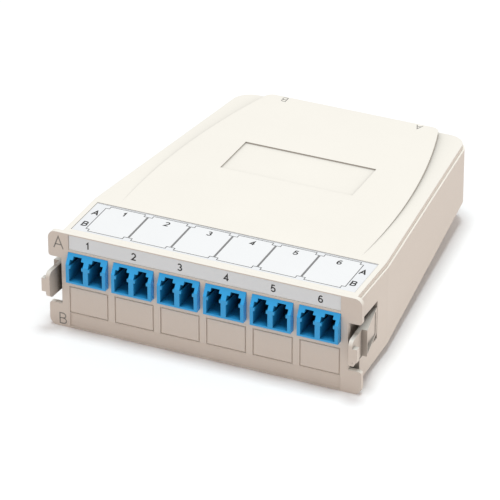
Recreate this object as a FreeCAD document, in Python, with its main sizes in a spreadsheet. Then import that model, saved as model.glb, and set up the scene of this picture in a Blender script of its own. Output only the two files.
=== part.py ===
"""Fibre cassette: a moulded housing with six duplex LC adapters in front and one MPO adapter behind.

The frame has its origin at the middle of the front panel's bottom edge, with X across the front,
Y to the back and Z up. Sizes are in millimetres and are kept in the sheet named size.
"""
import FreeCAD, Part
import math
import os

import Sketcher

SIZES = (
    # front panel and its ears
    ("ear_width", 2.45), ("panel_height", 32.0), ("panel_thickness", 1.6), ("panel_corner", 2.4),
    ("notch_floor", 7.7), ("notch_height", 15.8), ("ear_corner", 0.9),
    # front label fields and knock-outs
    ("front_label_width", 87.7), ("front_label_height", 5.0), ("label_lip", 0.35),
    ("front_field_depth", 0.5), ("label_thickness", 0.2), ("label_gap", 0.1),
    ("knockout_width", 12.8), ("knockout_height", 9.1), ("knockout_floor", 5.3),
    ("knockout_line", 0.35), ("knockout_line_depth", 0.4), ("knockout_web", 0.9),
    # housing
    ("body_width", 96.1), ("body_length", 113.5), ("straight_length", 25.8), ("rear_width", 78.0),
    ("rear_corner", 7.0), ("wall", 1.8), ("floor_front", 1.5), ("floor_rear", 7.9),
    ("parting_front", 28.9), ("parting_rear", 25.95),
    # cover
    ("cover_inset", 0.6), ("cover_gap", 0.1), ("cover_edge", 1.6), ("crown_rear_rise", 1.45),
    ("crown_front_width", 78.4), ("crown_rear_width", 58.0), ("crown_radius", 255.0),
    ("crown_corner", 3.0), ("lip_wall", 1.2), ("lip_drop", 2.2), ("lip_gap", 0.15),
    ("top_label_start", 5.7), ("top_label_length", 18.0), ("top_label_width", 91.5),
    ("top_field_depth", 0.3), ("plate_start", 60.0), ("plate_length", 19.0), ("plate_width", 43.8),
    ("plate_depth", 0.45),
    # duplex adapters
    ("adapter_pitch", 14.95), ("adapter_width", 13.0), ("adapter_height", 9.35),
    ("adapter_floor", 16.6), ("adapter_proud", 2.0), ("adapter_length", 25.6),
    ("adapter_face", 6.15), ("adapter_gap", 0.06), ("snap_rise", 0.5), ("snap_length", 2.2),
    ("port_pitch", 6.25), ("port_width", 4.6), ("port_floor", 0.65), ("port_square", 4.3),
    ("tab_height", 1.0), ("tab_reach", 0.5), ("port_shoulder", 6.9), ("key_width", 2.7),
    ("key_top", 7.9), ("port_depth", 10.5), ("holder_wall", 0.6),
    ("sleeve_length", 6.8), ("sleeve_wall", 0.17), ("sleeve_gap", 0.04), ("sleeve_slit", 0.3),
    # inner plugs and fibres
    ("ferrule_diameter", 1.25), ("ferrule_gap", 0.015), ("plug_nose", 4.5), ("ferrule_seat", 4.0),
    ("nose_gap", 0.1), ("lever_thickness", 0.8),
    ("plug_body", 5.4), ("plug_body_length", 6.0), ("boot_length", 12.5), ("boot_root", 4.0),
    ("boot_tip", 2.2), ("fibre_diameter", 0.9), ("fibre_gap", 0.15), ("fibre_bend", 10.0),
    # rear adapter and its cord
    ("rear_port_offset", 23.0), ("rear_port_height", 16.0), ("mpo_width", 12.8), ("mpo_height", 9.4),
    ("mpo_length", 26.0), ("mpo_proud", 8.0), ("mpo_bore_width", 10.4), ("mpo_bore_height", 7.4),
    ("mpo_bore_depth", 11.0), ("mpo_ferrule_width", 6.4), ("mpo_ferrule_height", 2.5),
    ("mpo_pin_pitch", 4.6), ("mpo_pin_diameter", 0.7), ("mpo_pin_reach", 2.0),
    ("mpo_key_width", 2.9), ("mpo_key_height", 0.6),
    ("mpo_plug_width", 12.2), ("mpo_plug_height", 7.6), ("mpo_plug_length", 11.0),
    ("mpo_plug_corner", 1.0), ("mpo_boot_length", 12.0),
    ("cord_diameter", 3.0), ("cord_bend", 8.5), ("cord_loop_bend", 10.0), ("cord_lane", 6.0),
    ("fanout_offset", 22.0), ("fanout_start", 85.0), ("fanout_length", 12.0),
    ("fanout_edge", 1.2), ("fanout_height", 7.4), ("post_wall", 1.4),
    # latches
    ("arm_height", 8.8), ("arm_middle", 15.6), ("arm_thickness", 1.3), ("arm_root", 17.2),
    ("arm_tip", 4.4), ("arm_flare", 1.35), ("catch_start", 3.7), ("catch_reach", 1.8),
    ("catch_rim", 0.5), ("tip_corner", 1.8), ("grip_height", 4.4), ("grip_length", 2.0), ("grip_reach", 1.4),
    ("slot_height", 12.6), ("slot_gap", 0.4), ("slot_front_height", 19.0), ("slot_front_end", 4.4),
    ("pivot_inset", 1.1), ("pivot_back", 1.4), ("pivot_diameter", 1.2), ("pivot_gap", 0.05),
    ("knuckle_diameter", 1.9), ("ear_thickness", 1.5), ("ear_gap", 0.3), ("ear_reach", 2.1),
    ("foot_length", 1.4), ("foot_inset", 0.4), ("screen_wall", 0.8), ("screen_gap", 0.2),
    # cover screws
    ("screw_offset", 33.4), ("screw_back", 103.0), ("screw_diameter", 2.2), ("screw_head", 4.0),
    ("screw_head_height", 1.5), ("screw_length", 12.0), ("screw_gap", 0.05), ("boss_diameter", 6.0),
    ("column_diameter", 4.6), ("boss_top", 14.0), ("head_recess", 1.7),
)
ADAPTERS = 6
FIBRES = 2 * ADAPTERS
# sizes that follow from others, worked out in the sheet
TIED = (
    ("panel_width", "body_width + 2 * ear_width"),
    ("notch_depth", "ear_width + wall"),
    ("sleeve_diameter", "ferrule_diameter + 2 * ferrule_gap + 2 * sleeve_wall"),
    ("holder_diameter", "sleeve_diameter + 2 * sleeve_gap + 2 * holder_wall"),
    ("fibre_pitch", "fibre_diameter + fibre_gap"),
    ("fanout_width", f"{FIBRES} * fibre_pitch + 2 * fanout_edge"),
)
FEW_SIDES = 8
CORD_SIDES = 6
MANY_SIDES = 12

doc = FreeCAD.newDocument("fibre_cassette")
sheet = doc.addObject("Spreadsheet::Sheet", "size")
TIED_FROM = len(SIZES) + 1
for row, (alias, number) in enumerate(SIZES, start=1):
    sheet.set(f"A{row}", alias)
    sheet.set(f"B{row}", str(number))
    sheet.setAlias(f"B{row}", alias)
doc.recompute()
for row, (alias, rule) in enumerate(TIED, start=TIED_FROM):
    sheet.set(f"A{row}", alias)
    sheet.set(f"B{row}", f"={rule}")
    sheet.setAlias(f"B{row}", alias)
    doc.recompute()

HALF_REAR = "size.rear_width / 2"
ROOT = "(size.body_width / 2)"
FLOOR_ANGLE = "atan((size.floor_rear - size.floor_front) / size.body_length)"
PORT_AXIS = "(size.adapter_floor + size.port_floor + size.port_width / 2)"
ADAPTER_END = "(size.adapter_length - size.adapter_proud)"
parts = []


def value(text):
    """The number that an expression on the sheet gives."""
    return float(sheet.evalExpression(text))


def along(start, end, reach, place):
    """Expression for a line's height at a place, from its height at 0 and at the place called reach."""
    return f"({start} + ({end} - ({start})) * ({place}) / ({reach}))"


def parting(place):
    """Height of the joint between housing and cover, level in front and sloping behind."""
    fall = "(size.parting_front - size.parting_rear) / (size.body_length - size.straight_length)"
    return f"(size.parting_front - {fall} * (({place}) - size.straight_length))"


def underside(place):
    return along("size.floor_front", "size.floor_rear", "size.body_length", place)


def in_floor(place):
    """Height of the middle of the floor's thickness, where what stands on it starts."""
    return f"({underside(place)} + size.wall / 2)"


def new_body(name):
    body = doc.addObject("PartDesign::Body", name)
    body.Label = name
    parts.append(body)
    return body


def sketch(body, name, role, offset="0"):
    """Sketch on one of the body's own origin planes, moved along the plane's normal."""
    made = body.newObject("Sketcher::SketchObject", f"{body.Name}_{name}")
    origin_plane = next(item for item in body.Origin.OriginFeatures if item.Role == role)
    made.AttachmentSupport = [(origin_plane, "")]
    made.MapMode = "FlatFace"
    made.setExpression("AttachmentOffset.Base.z", offset)
    return made


def hold(made, item, end, x, y):
    """Fix one point of a sketch from the sketch's origin by two expressions."""
    for kind, axis, text in (("DistanceX", -2, x), ("DistanceY", -1, y)):
        if text == "0":
            made.addConstraint(Sketcher.Constraint("PointOnObject", item, end, axis))
        else:
            index = made.addConstraint(Sketcher.Constraint(kind, -1, 1, item, end, value(text)))
            made.setExpression(f"Constraints[{index}]", text)


def outline(made, corners):
    """Closed outline of straight edges through corners given as pairs of expressions."""
    first = made.GeometryCount
    points = [FreeCAD.Vector(value(x), value(y), 0) for x, y in corners]
    for here, there in zip(points, points[1:] + points[:1]):
        made.addGeometry(Part.LineSegment(here, there), False)
    for step, (x, y) in enumerate(corners):
        following = first + (step + 1) % len(corners)
        made.addConstraint(Sketcher.Constraint("Coincident", first + step, 2, following, 1))
        hold(made, first + step, 1, x, y)


def rectangle(made, left, right, low, high):
    outline(made, ((left, low), (right, low), (right, high), (left, high)))


def circle(made, x, y, radius):
    item = made.addGeometry(
        Part.Circle(FreeCAD.Vector(value(x), value(y), 0), FreeCAD.Vector(0, 0, 1), value(radius)), False)
    hold(made, item, 3, x, y)
    index = made.addConstraint(Sketcher.Constraint("Radius", item, value(radius)))
    made.setExpression(f"Constraints[{index}]", radius)


def many_sided(made, x, y, radius, sides, around=False):
    """Regular outline inside a circle, or around it so that what is round passes through."""
    radius = f"({radius}) / cos({180 / sides})" if around else f"({radius})"
    turns = [360 * (step + 0.5) / sides for step in range(sides)]
    outline(made, [(f"{x} + {radius} * cos({turn})", f"{y} + {radius} * sin({turn})") for turn in turns])


def pad(body, made, length, both=False, reverse=False):
    feature = body.newObject("PartDesign::Pad", f"{made.Name}_pad")
    feature.Profile = made
    feature.setExpression("Length", length)
    feature.SideType = "Symmetric" if both else "One side"
    feature.Reversed = reverse
    return feature


def pocket(body, made, length, both=False, reverse=False):
    feature = body.newObject("PartDesign::Pocket", f"{made.Name}_pocket")
    feature.Profile = made
    feature.setExpression("Length", length)
    feature.SideType = "Symmetric" if both else "One side"
    feature.Reversed = reverse
    return feature


def tilt(made, angle):
    """Lean a level sketch back by an angle about the X axis."""
    made.setExpression("AttachmentOffset.Rotation.Angle", angle)
    made.setExpression("AttachmentOffset.Rotation.Axis.x", "1")
    made.setExpression("AttachmentOffset.Rotation.Axis.z", "0")


def straight_up(feature):
    """Run a pad or pocket along Z, whatever way its sketch leans."""
    feature.UseCustomVector = True
    feature.Direction = FreeCAD.Vector(0, 0, 1)


def edges(shape, test):
    """Names of the edges whose two ends and middle pass a test on (x, y, z)."""
    found = []
    for number, edge in enumerate(shape.Edges, start=1):
        middle = edge.valueAt((edge.FirstParameter + edge.LastParameter) / 2)
        if all(test(*point) for point in (edge.Vertexes[0].Point, middle, edge.Vertexes[-1].Point)):
            found.append(f"Edge{number}")
    return found


def near(a, b):
    return abs(a - b) < 0.01


def fillet(body, radius, test):
    """Round the edges of the body's last feature that pass the test."""
    doc.recompute()
    last = body.Tip
    feature = body.newObject("PartDesign::Fillet", f"{last.Name}_round")
    feature.Base = (last, edges(last.Shape, test))
    feature.setExpression("Radius", radius)
    return feature


def plan(made, inset, front, slope="0"):
    """Outline of the housing in plan, set in from its sides and back, on a plane that slopes to the back."""
    half = f"(size.body_width / 2 - {inset})"
    rear = f"(size.rear_width / 2 - {inset})"
    level = ((half, front), (half, "size.straight_length"), (rear, f"size.body_length - {inset}"))
    right = [(x, f"({y}) / cos({slope})") for x, y in level]
    outline(made, right + [(f"-{x}", y) for x, y in reversed(right)])


def cut_above(body, name, height_front, height_rear, front="-size.wall"):
    """Cut away everything above a line that is level in front and slopes behind."""
    profile = sketch(body, name, "YZ_Plane")
    top = "2 * size.panel_height"
    end = "size.body_length + size.wall"
    rise = f"({height_front} - ({height_rear})) / (size.body_length - size.straight_length)"
    low = f"{height_front} - {rise} * (size.body_length + size.wall - size.straight_length)"
    outline(profile, ((front, height_front), ("size.straight_length", height_front),
                      (end, low), (end, top), (front, top)))
    return pocket(body, profile, "2 * size.panel_width", both=True)


def base_shell():
    """Housing: floor, walls and front panel in one moulding."""
    body = new_body("base_shell")
    walls = sketch(body, "plan", "XY_Plane")
    plan(walls, "0", "size.panel_thickness")
    pad(body, walls, "size.panel_height")
    rear = value("size.body_length")
    fillet(body, "size.rear_corner", lambda x, y, z: near(y, rear) and near(abs(x), value(HALF_REAR)))
    cut_above(body, "parting", "size.parting_front", "size.parting_rear")
    bottom = sketch(body, "underside", "YZ_Plane")
    end = "size.body_length + size.wall"
    outline(bottom, (("-size.wall", "-size.wall"), (end, "-size.wall"), (end, underside(end)),
                     ("-size.wall", underside("-size.wall"))))
    pocket(body, bottom, "2 * size.panel_width", both=True)
    hollow = sketch(body, "hollow", "XY_Plane", "size.floor_front + size.wall")
    tilt(hollow, FLOOR_ANGLE)
    plan(hollow, "size.wall", "size.panel_thickness", FLOOR_ANGLE)
    straight_up(pocket(body, hollow, "size.panel_height"))
    inner_corner = value(f"{HALF_REAR} - size.wall")
    fillet(body, "size.rear_corner - size.wall",
           lambda x, y, z: near(abs(x), inner_corner) and y > value("size.straight_length") and z > 0)
    panel_front(body)
    latch_openings(body)
    rear_openings(body)
    inside(body)
    return body


def panel_front(body):
    """Front panel with its ears, adapter openings, label fields and knock-outs."""
    half = "(size.panel_width / 2)"
    inner = f"({half} - size.notch_depth)"
    low = "size.notch_floor"
    high = "(size.notch_floor + size.notch_height)"
    top = "size.panel_height"
    face = sketch(body, "panel", "XZ_Plane")
    outline(face, ((f"-{half}", "0"), (half, "0"), (half, low), (inner, low), (inner, high), (half, high),
                   (half, top), (f"-{half}", top), (f"-{half}", high), (f"-{inner}", high),
                   (f"-{inner}", low), (f"-{half}", low)))
    pad(body, face, "size.panel_thickness", reverse=True)
    side = value(half)
    ends = (0.0, value(top))
    fillet(body, "size.panel_corner",
           lambda x, y, z: near(abs(x), side) and any(near(z, end) for end in ends))
    steps = (value(low), value(high))
    fillet(body, "size.ear_corner",
           lambda x, y, z: near(abs(x), side) and any(near(z, step) for step in steps))
    gap = "size.adapter_gap"
    openings = sketch(body, "openings", "XZ_Plane")
    webs = sketch(body, "webs", "XZ_Plane", "-size.panel_thickness")
    lines = sketch(body, "lines", "XZ_Plane")
    for number in range(ADAPTERS):
        middle = f"({number - (ADAPTERS - 1) / 2} * size.adapter_pitch)"
        reach = f"(size.adapter_width / 2 + {gap})"
        rectangle(openings, f"{middle} - {reach}", f"{middle} + {reach}",
                  f"size.adapter_floor - {gap}", f"size.adapter_floor + size.adapter_height + {gap}")
        for inset in ("0", "size.knockout_line"):
            reach = f"(size.knockout_width / 2 - {inset})"
            rectangle(lines, f"{middle} - {reach}", f"{middle} + {reach}",
                      f"size.knockout_floor + {inset}",
                      f"size.knockout_floor + size.knockout_height - {inset}")
        rectangle(webs, f"{middle} - {reach}", f"{middle} + {reach}", "size.knockout_floor + size.wall",
                  "size.knockout_floor + size.knockout_height - size.knockout_line")
    pocket(body, openings, "size.panel_thickness")
    pocket(body, lines, "size.knockout_line_depth")
    pocket(body, webs, "size.panel_thickness - size.knockout_web", reverse=True)
    fields = sketch(body, "fields", "XZ_Plane")
    reach = "size.front_label_width / 2"
    rectangle(fields, f"-{reach}", reach, "size.panel_height - size.label_lip - size.front_label_height",
              "size.panel_height - size.label_lip")
    rectangle(fields, f"-{reach}", reach, "size.label_lip", "size.knockout_floor - size.label_lip / 2")
    pocket(body, fields, "size.front_field_depth")


def latch_openings(body):
    """Slots in both side walls for the latch arms, and the ears that carry their pivots."""
    slots = sketch(body, "slots", "YZ_Plane")
    half = "size.slot_height / 2"
    front = "size.slot_front_height / 2"
    step = "size.slot_front_end"
    end = "size.arm_root + size.slot_gap"
    start = "size.panel_thickness"
    middle = "size.arm_middle"
    outline(slots, ((start, f"{middle} - {front}"), (step, f"{middle} - {front}"),
                    (step, f"{middle} - {half}"), (end, f"{middle} - {half}"),
                    (end, f"{middle} + {half}"), (step, f"{middle} + {half}"),
                    (step, f"{middle} + {front}"), (start, f"{middle} + {front}")))
    pocket(body, slots, "size.body_width + size.wall", both=True)
    inner = f"({ROOT} - size.wall)"
    axis = f"({inner} - size.pivot_inset)"
    place = "(size.arm_root + size.pivot_back)"
    for name, sign in (("lower", "-"), ("upper", "+")):
        gap = "(size.arm_height / 2 + size.ear_gap)"
        level = f"{middle} {sign} {gap}"
        if sign == "-":
            level = f"{level} - size.ear_thickness"
        ears = sketch(body, f"{name}_ears", "XY_Plane", level)
        holes = sketch(body, f"{name}_holes", "XY_Plane", f"{level} + size.ear_thickness")
        for side in ("", "-"):
            near_wall = f"{side}({inner} + size.wall / 2)"
            far = f"{side}({inner} - size.ear_reach)"
            left, right = (far, near_wall) if side == "" else (near_wall, far)
            rectangle(ears, left, right, "size.arm_root + size.slot_gap",
                      f"{place} + size.knuckle_diameter / 2")
            circle(holes, f"{side}{axis}", place, "size.pivot_diameter / 2 + size.pivot_gap")
        pad(body, ears, "size.ear_thickness")
        pocket(body, holes, "size.ear_thickness")


def rear_openings(body):
    """Opening for the rear adapter and the scored outline of the spare one beside it."""
    gap = "size.adapter_gap"
    opening = sketch(body, "rear_opening", "XZ_Plane", "-(size.body_length - 2 * size.wall)")
    reach = f"(size.mpo_width / 2 + {gap})"
    tall = f"(size.mpo_height / 2 + {gap})"
    rectangle(opening, f"size.rear_port_offset - {reach}", f"size.rear_port_offset + {reach}",
              f"size.rear_port_height - {tall}", f"size.rear_port_height + {tall}")
    pocket(body, opening, "3 * size.wall")
    scored = sketch(body, "rear_line", "XZ_Plane", "-(size.body_length - size.knockout_line_depth)")
    for inset in ("0", "size.knockout_line"):
        reach = f"(size.mpo_width / 2 - {inset})"
        tall = f"(size.mpo_height / 2 - {inset})"
        rectangle(scored, f"-size.rear_port_offset - {reach}", f"-size.rear_port_offset + {reach}",
                  f"size.rear_port_height - {tall}", f"size.rear_port_height + {tall}")
    pocket(body, scored, "size.wall")


def stand(body, name, place, top, draw):
    """Pad what stands on the sloping floor, from inside the floor up to a level."""
    base = sketch(body, name, "XY_Plane", in_floor(place))
    draw(base)
    return pad(body, base, f"{top} - {in_floor(place)}")


def inside(body):
    """Rail under the adapters, fibre posts, fan-out cradle and screw bosses."""
    rail = f"({ADAPTER_END} - 3 / 2 * size.wall)"
    inner = f"({ROOT} - size.wall / 2)"
    stand(body, "rail", rail, "size.adapter_floor",
          lambda made: rectangle(made, f"-{inner}", inner, rail, f"{rail} + size.wall"))
    clear = "(size.cord_diameter / 2 + 2 * size.label_gap)"
    turn_x = "(size.rear_port_offset - size.cord_bend)"
    turn_y = ("(size.body_length + size.mpo_proud - size.mpo_length - size.mpo_plug_length"
              " - size.mpo_boot_length - size.cord_diameter)")
    top = "size.rear_port_height + size.cord_diameter / 2"
    loop_x = "(size.cord_lane - size.cord_loop_bend)"
    loop_y = "(size.fanout_start + size.fanout_length)"

    def ring(made, x, y, radius):
        many_sided(made, x, y, radius, 2 * FEW_SIDES)
        many_sided(made, x, y, f"{radius} - size.post_wall", 2 * FEW_SIDES)

    stand(body, "turn_post", turn_y, top,
          lambda made: ring(made, turn_x, turn_y, f"size.cord_bend - {clear}"))
    stand(body, "loop_post", loop_y, top,
          lambda made: ring(made, loop_x, loop_y, f"size.cord_loop_bend - {clear}"))
    cradle = "size.rear_port_height - size.cord_diameter / 2 - size.post_wall"
    for name, place in (("cradle_front", "size.fanout_start + size.post_wall"),
                        ("cradle_back", "size.fanout_start + size.fanout_length - 2 * size.post_wall")):
        stand(body, name, place, cradle,
              lambda made: rectangle(made, "-size.fanout_offset - size.fanout_width / 2",
                                     "-size.fanout_offset + size.fanout_width / 2",
                                     place, f"{place} + size.post_wall"))
    end_adapter = f"({(ADAPTERS - 1) / 2} * size.adapter_pitch + size.adapter_width / 2)"
    near_side = f"({end_adapter} + size.screen_gap)"
    far_side = f"({near_side} + size.screen_wall)"
    screen_end = "(size.arm_root - size.foot_length - size.screen_wall)"
    for side in ("", "-"):
        x = f"{side}size.screw_offset"
        name = "right" if side == "" else "left"
        left, right = (near_side, far_side) if side == "" else (f"-{far_side}", f"-{near_side}")
        screen = sketch(body, f"{name}_screen", "XY_Plane", in_floor("0") + " + size.wall / 4")
        rectangle(screen, left, right, "size.panel_thickness", screen_end)
        pad(body, screen, f"size.parting_front - {in_floor('0')} - size.wall / 4")
        stand(body, f"{name}_boss", "size.screw_back", "size.boss_top",
              lambda made: many_sided(made, x, "size.screw_back", "size.boss_diameter / 2", MANY_SIDES))
        for hole, level, radius in (
                ("bore", "size.boss_top + size.wall", "size.screw_diameter / 2 + size.screw_gap"),
                ("recess", f"{underside('size.screw_back')} + size.head_recess",
                 "size.screw_head / 2 + 2 * size.screw_gap")):
            made = sketch(body, f"{name}_{hole}", "XY_Plane", level)
            many_sided(made, x, "size.screw_back", radius, MANY_SIDES, around=True)
            pocket(body, made, level)


def top_cover():
    """Cover: inset edge, raised crown between two long arcs, label field and plain plate field."""
    body = new_body("top_cover")
    start = "(size.panel_thickness + size.cover_gap)"
    edge = "size.cover_edge"
    slab = sketch(body, "plan", "XY_Plane", "size.parting_rear - 2 * size.wall")
    plan(slab, "size.cover_inset", start)
    pad(body, slab, "size.panel_height")
    rear = value("size.body_length - size.cover_inset")
    corner = value("size.rear_width / 2 - size.cover_inset")
    fillet(body, "size.rear_corner - size.cover_inset",
           lambda x, y, z: near(y, rear) and near(abs(x), corner))
    cut_above(body, "strips", f"size.parting_front + {edge}", f"size.parting_rear + {edge}")
    crown = sketch(body, "crown", "XY_Plane", "size.parting_rear")
    arched(crown, "0")
    pad(body, crown, "size.panel_height")
    back = value("size.body_length - size.cover_inset")
    half = value("size.crown_rear_width / 2")
    fillet(body, "size.crown_corner",
           lambda x, y, z: near(y, back) and near(abs(x), half) and z > value("size.parting_rear"))
    cut_above(body, "crown_top", f"size.parting_front + {edge}",
              f"size.parting_rear + {edge} + size.crown_rear_rise")
    under = sketch(body, "underside", "YZ_Plane")
    end = "size.body_length + size.wall"
    seat = "size.label_gap / 2"
    outline(under, (("-size.wall", "0"), (end, "0"), (end, f"{parting(end)} + {seat}"),
                    ("size.straight_length", f"size.parting_front + {seat}"),
                    ("-size.wall", f"size.parting_front + {seat}")))
    pocket(body, under, "2 * size.panel_width", both=True)
    cover_lip(body)
    cover_fields(body)
    return body


def arched(made, inset):
    """Outline between two long arcs that lean in towards the back."""
    front = f"(size.crown_front_width / 2 - {inset})"
    rear = f"(size.crown_rear_width / 2 - {inset})"
    start = "size.straight_length"
    end = f"(size.body_length - size.cover_inset - {inset})"
    radius = "size.crown_radius"
    first = made.GeometryCount
    places = {"front_left": (f"-{front}", start), "front_right": (front, start),
              "rear_right": (rear, end), "rear_left": (f"-{rear}", end)}
    points = {name: FreeCAD.Vector(value(x), value(y), 0) for name, (x, y) in places.items()}
    made.addGeometry(Part.LineSegment(points["front_left"], points["front_right"]), False)
    made.addGeometry(bulge(points["front_right"], points["rear_right"], value(radius)), False)
    made.addGeometry(Part.LineSegment(points["rear_right"], points["rear_left"]), False)
    made.addGeometry(bulge(points["rear_left"], points["front_left"], value(radius)), False)
    hold(made, first, 1, *places["front_left"])
    hold(made, first, 2, *places["front_right"])
    hold(made, first + 2, 1, *places["rear_right"])
    hold(made, first + 2, 2, *places["rear_left"])
    for line, line_end, arc, arc_end in ((0, 2, 1, 1), (2, 1, 1, 2), (2, 2, 3, 1), (0, 1, 3, 2)):
        made.addConstraint(Sketcher.Constraint("Coincident", first + line, line_end, first + arc, arc_end))
    for arc in (1, 3):
        index = made.addConstraint(Sketcher.Constraint("Radius", first + arc, value(radius)))
        made.setExpression(f"Constraints[{index}]", radius)


def bulge(start, end, radius):
    """Arc of a radius from start to end, anticlockwise, bulging to the right of the way it goes."""
    chord = end - start
    rise = radius - math.sqrt(radius ** 2 - (chord.Length / 2) ** 2)
    outward = FreeCAD.Vector(chord.y, -chord.x, 0).normalize()
    middle = (start + end) * 0.5 + outward * rise
    return Part.ArcOfCircle(start, middle, end)


def tapered(made, inset, front):
    """Outline of the tapered part of the housing only, set in, with its back corners cut."""
    lean = "(size.body_width - size.rear_width) / 2 / (size.body_length - size.straight_length)"
    half = f"(size.body_width / 2 - {inset} - {lean} * ({front} - size.straight_length))"
    back = f"(size.body_length - {inset})"
    rear = f"(size.rear_width / 2 - {inset})"
    corner = "(size.rear_corner - size.wall)"
    right = [(half, front), (rear, f"{back} - {corner}"), (f"{rear} - {corner}", back)]
    outline(made, right + [(f"-{x}", y) for x, y in reversed(right)])


def cover_lip(body):
    """Lip that drops inside the housing walls, and the columns that the screws bite in."""
    fall = "(size.parting_front - size.parting_rear) / (size.body_length - size.straight_length)"
    level = f"(size.parting_front + {fall} * size.straight_length - size.lip_drop)"
    front = "(size.straight_length + size.wall)"
    lip = sketch(body, "lip", "XY_Plane", level)
    tilt(lip, f"-atan({fall})")
    tapered(lip, "(size.wall + size.lip_gap)", front)
    tapered(lip, "(size.wall + size.lip_gap + size.lip_wall)", f"({front} + size.lip_wall)")
    straight_up(pad(body, lip, "size.lip_drop + size.cover_edge / 2"))
    foot = "(size.boss_top + size.cover_gap)"
    columns = sketch(body, "columns", "XY_Plane", foot)
    pilots = sketch(body, "pilots", "XY_Plane", foot)
    for side in ("", "-"):
        x = f"{side}size.screw_offset"
        many_sided(columns, x, "size.screw_back", "size.column_diameter / 2", MANY_SIDES)
        many_sided(pilots, x, "size.screw_back", "size.screw_diameter / 2 + size.screw_gap",
                   MANY_SIDES, around=True)
    pad(body, columns, f"{parting('size.screw_back')} - {foot} + size.cover_edge / 2")
    pocket(body, pilots, "size.screw_length", reverse=True)


def cover_fields(body):
    """Shallow fields for the printed label and for a plain plate."""
    top = "(size.parting_front + size.cover_edge)"
    label = sketch(body, "label_field", "XY_Plane", top)
    half = "size.top_label_width / 2"
    rectangle(label, f"-{half}", half, "size.top_label_start", "size.top_label_start + size.top_label_length")
    pocket(body, label, "size.top_field_depth")
    fall = "(size.parting_front - size.parting_rear - size.crown_rear_rise)"
    run = "(size.body_length - size.straight_length)"
    level = f"({top} + {fall} * size.straight_length / {run} - size.plate_depth)"
    plate = sketch(body, "plate_field", "XY_Plane", level)
    tilt(plate, f"-atan({fall} / {run})")
    half = "size.plate_width / 2"
    rectangle(plate, f"-{half}", half, "size.plate_start", "size.plate_start + size.plate_length")
    straight_up(pocket(body, plate, "size.panel_height"))


def port_outline(made, middle):
    """Mouth of one LC port: a square with two side tabs, a shoulder and a narrower keyway above."""
    floor = "(size.adapter_floor + size.port_floor)"
    half = "size.port_width / 2"
    tab = "(size.port_width / 2 - size.tab_reach)"
    key = "size.key_width / 2"
    square = f"({floor} + size.port_square)"
    right = ((half, floor), (half, square), (tab, square), (tab, f"{square} + size.tab_height"),
             (half, f"{square} + size.tab_height"), (half, f"{floor} + size.port_shoulder"),
             (key, f"{floor} + size.port_shoulder"), (key, f"{floor} + size.key_top"))
    left = tuple((f"-{x}", z) for x, z in reversed(right))
    outline(made, tuple((f"{middle} + {x}" if x[0] != "-" else f"{middle} - {x[1:]}", z)
                        for x, z in right + left))


def lc_adapter(number):
    """Duplex adapter: two ports in front and two behind, with a holder for a split sleeve in each."""
    body = new_body(f"lc_adapter_{number + 1}")
    side = sketch(body, "side", "YZ_Plane")
    low = "size.adapter_floor"
    step = f"{low} + size.adapter_face"
    top = f"{low} + size.adapter_height"
    front = "-size.adapter_proud"
    end = ADAPTER_END
    snap = "(size.panel_thickness + size.adapter_gap)"
    outline(side, ((front, low), (end, low), (end, step), (f"{end} - size.adapter_proud", top),
                   (f"{snap} + size.snap_length", top), (snap, f"{top} + size.snap_rise"),
                   (snap, top), ("0", top), (front, step)))
    pad(body, side, "size.adapter_width", both=True)
    front_ports = sketch(body, "front_ports", "XZ_Plane", "size.adapter_proud")
    rear_ports = sketch(body, "rear_ports", "XZ_Plane", f"-{end}")
    tubes = sketch(body, "tubes", "XZ_Plane",
                   f"-({end} - size.adapter_proud + size.sleeve_length) / 2 - 2 * size.sleeve_gap")
    bores = sketch(body, "bores", "XZ_Plane", f"-({end} - size.adapter_proud - size.sleeve_length) / 2"
                   " + 2 * size.sleeve_gap")
    lips = sketch(body, "lips", "XZ_Plane", "size.adapter_proud")
    for sign in ("-", ""):
        middle = f"{sign}size.port_pitch / 2"
        port_outline(front_ports, middle)
        port_outline(rear_ports, middle)
        many_sided(tubes, middle, PORT_AXIS, "size.holder_diameter / 2", FEW_SIDES)
        many_sided(bores, middle, PORT_AXIS, "size.sleeve_diameter / 2 + size.sleeve_gap", FEW_SIDES,
                   around=True)
        many_sided(lips, middle, PORT_AXIS, "size.ferrule_diameter / 2 + size.sleeve_gap",
                   FEW_SIDES, around=True)
    pocket(body, front_ports, "size.port_depth")
    pocket(body, rear_ports, "size.port_depth", reverse=True)
    pad(body, tubes, "size.sleeve_length + 4 * size.sleeve_gap")
    pocket(body, lips, "size.adapter_length")
    pocket(body, bores, "size.sleeve_length + 4 * size.sleeve_gap")
    body.setExpression("Placement.Base.x", f"{number - (ADAPTERS - 1) / 2} * size.adapter_pitch")


def primitive(kind, name, place, **sizes):
    """Part primitive whose sizes and place are expressions."""
    made = doc.addObject(f"Part::{kind}", name)
    for key, text in sizes.items():
        made.setExpression(key, text)
    for key, text in zip("xyz", place):
        made.setExpression(f"Placement.Base.{key}", text)
    return made


def face_back(made):
    """Turn what runs up so that it runs to the back."""
    turn = FreeCAD.Rotation(FreeCAD.Vector(1, 0, 0), -90)
    made.Placement = FreeCAD.Placement(made.Placement.Base, turn)
    return made


def rod(name, place, radius, length, around=False):
    """Many-sided rod that runs to the back, inside a circle or around it."""
    if around:
        radius = f"({radius}) / cos({180 / FEW_SIDES})"
    made = primitive("Prism", name, place, Circumradius=radius, Height=length)
    made.Polygon = FEW_SIDES
    return face_back(made)


def cut(name, base, tool):
    made = doc.addObject("Part::Cut", name)
    made.Base = base
    made.Tool = tool
    return made


def group(name, members):
    """One node for several separate solids of one kind."""
    made = doc.addObject("Part::Compound", name)
    made.Links = members
    made.Label = name
    parts.append(made)
    return made


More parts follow.
